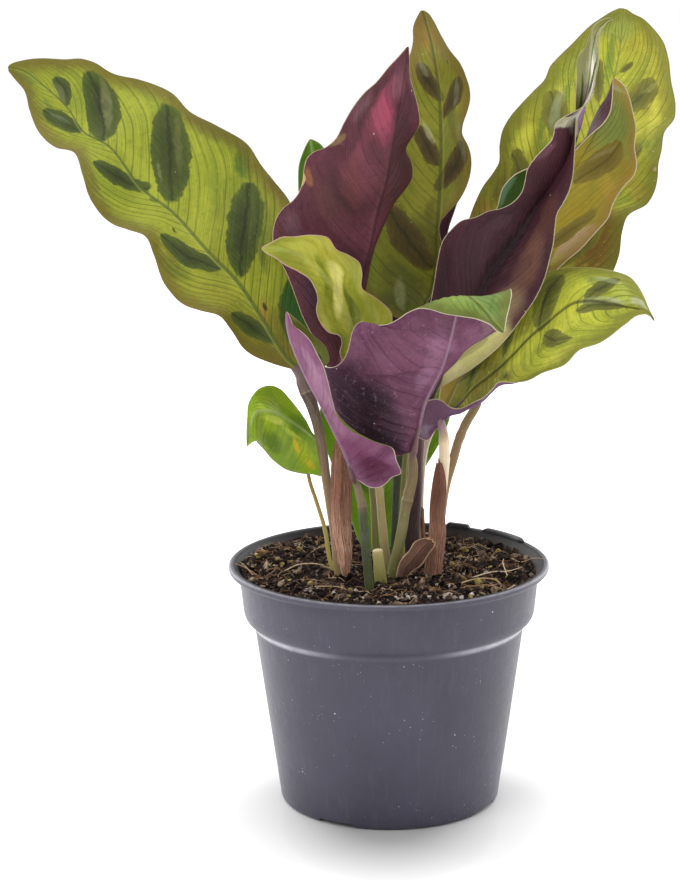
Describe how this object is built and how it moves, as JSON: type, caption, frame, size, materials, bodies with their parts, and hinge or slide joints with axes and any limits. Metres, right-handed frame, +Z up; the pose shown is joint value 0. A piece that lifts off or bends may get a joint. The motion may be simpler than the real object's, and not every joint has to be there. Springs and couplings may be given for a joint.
{
  "type": "potted calathea",
  "caption": "Potted calathea: broad wavy leaves with dark ovals and purple undersides on slender stalks, in peaty soil in a dark plastic nursery pot.",
  "frame": {"origin": "centre of the pot's base, on the surface that the pot stands on", "axes": "+Z up through the pot's axis; the plant's front is seen looking along +Y, with +X to the right"},
  "size_m": [0.2502, 0.1205, 0.2937],
  "materials": {
    "pot": "moulded matte grey-violet plastic, dusty, slightly glossy lip",
    "soil": "moist dark peat with bark, coir fibres and white perlite",
    "patterned_leaf": "satin yellow-green blade with dark green ovals beside the midrib",
    "young_leaf": "satin fresh green blade",
    "purple_leaf": "satin purple underside, pale thin margin",
    "stem": "satin olive-brown stalk",
    "pale_stem": "satin cream stalk",
    "purple_stem": "satin dark purple stalk",
    "dry_sheath": "dry brown fibrous sheath"
  },
  "bodies": {
    "root": {"pot": "pot", "soil": "soil", "left_leaf": "patterned_leaf", "upright_purple_leaf": "purple_leaf", "centre_back_leaf": "patterned_leaf", "right_back_leaf": "patterned_leaf", "twisted_purple_leaf": "purple_leaf", "right_cupped_leaf": "patterned_leaf", "right_low_leaf": "patterned_leaf", "front_purple_leaf": "purple_leaf", "front_folded_leaf": "purple_leaf", "small_pleated_leaf": "patterned_leaf", "young_left_leaf": "young_leaf", "low_back_leaf": "young_leaf", "hidden_left_leaf": "young_leaf", "hidden_centre_leaf": "purple_leaf", "left_petiole": "stem", "upright_purple_petiole": "stem", "small_pleated_petiole": "stem", "centre_back_petiole": "stem", "right_back_petiole": "stem", "twisted_purple_petiole": "purple_stem", "right_cupped_petiole": "pale_stem", "right_low_petiole": "pale_stem", "front_purple_petiole": "stem", "front_folded_petiole": "stem", "young_left_petiole": "stem", "low_back_petiole": "stem", "hidden_left_petiole": "stem", "hidden_centre_petiole": "stem", "cut_stem_stub": "stem", "dry_sheath_left": "dry_sheath", "dry_sheath_right": "dry_sheath", "dry_sheath_small": "dry_sheath", "broken_sheath_piece": "dry_sheath"}
  },
  "joints": []
}
